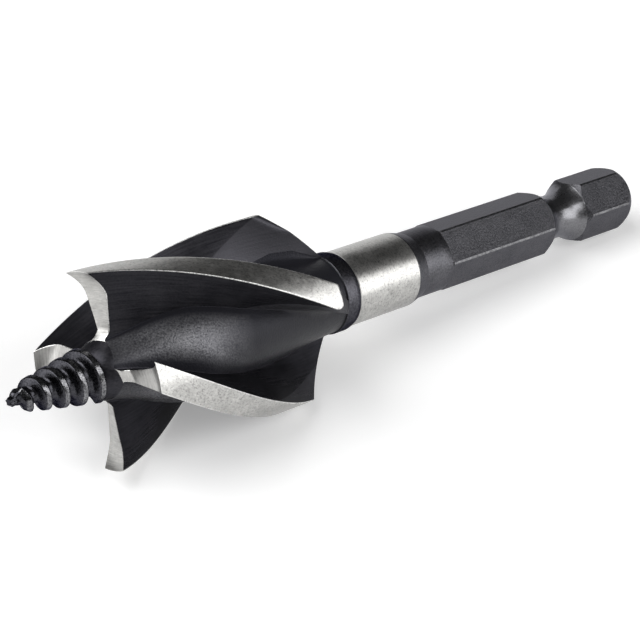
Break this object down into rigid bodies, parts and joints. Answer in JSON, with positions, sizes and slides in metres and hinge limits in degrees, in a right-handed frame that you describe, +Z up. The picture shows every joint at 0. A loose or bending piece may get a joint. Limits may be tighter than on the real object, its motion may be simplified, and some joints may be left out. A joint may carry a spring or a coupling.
{
  "type": "four-wing self-feed wood boring bit",
  "caption": "Self-feed wood boring bit: tapered lead screw, helical spurred wings and a quarter inch hex quick-change shank with a ball groove.",
  "frame": {"origin": "centre of the lying bit's bounding box, on the table it rests on", "axes": "+X from the lead screw to the hex shank, +Z up, as the bit rests on two wing rims and the edge of its shank's end"},
  "size_m": [0.0824, 0.019, 0.0197],
  "materials": {
    "tool_steel": "black oxide steel, with bright ground margins, front faces and collar"
  },
  "bodies": {
    "root": {"boring_bit": "tool_steel"}
  },
  "joints": []
}
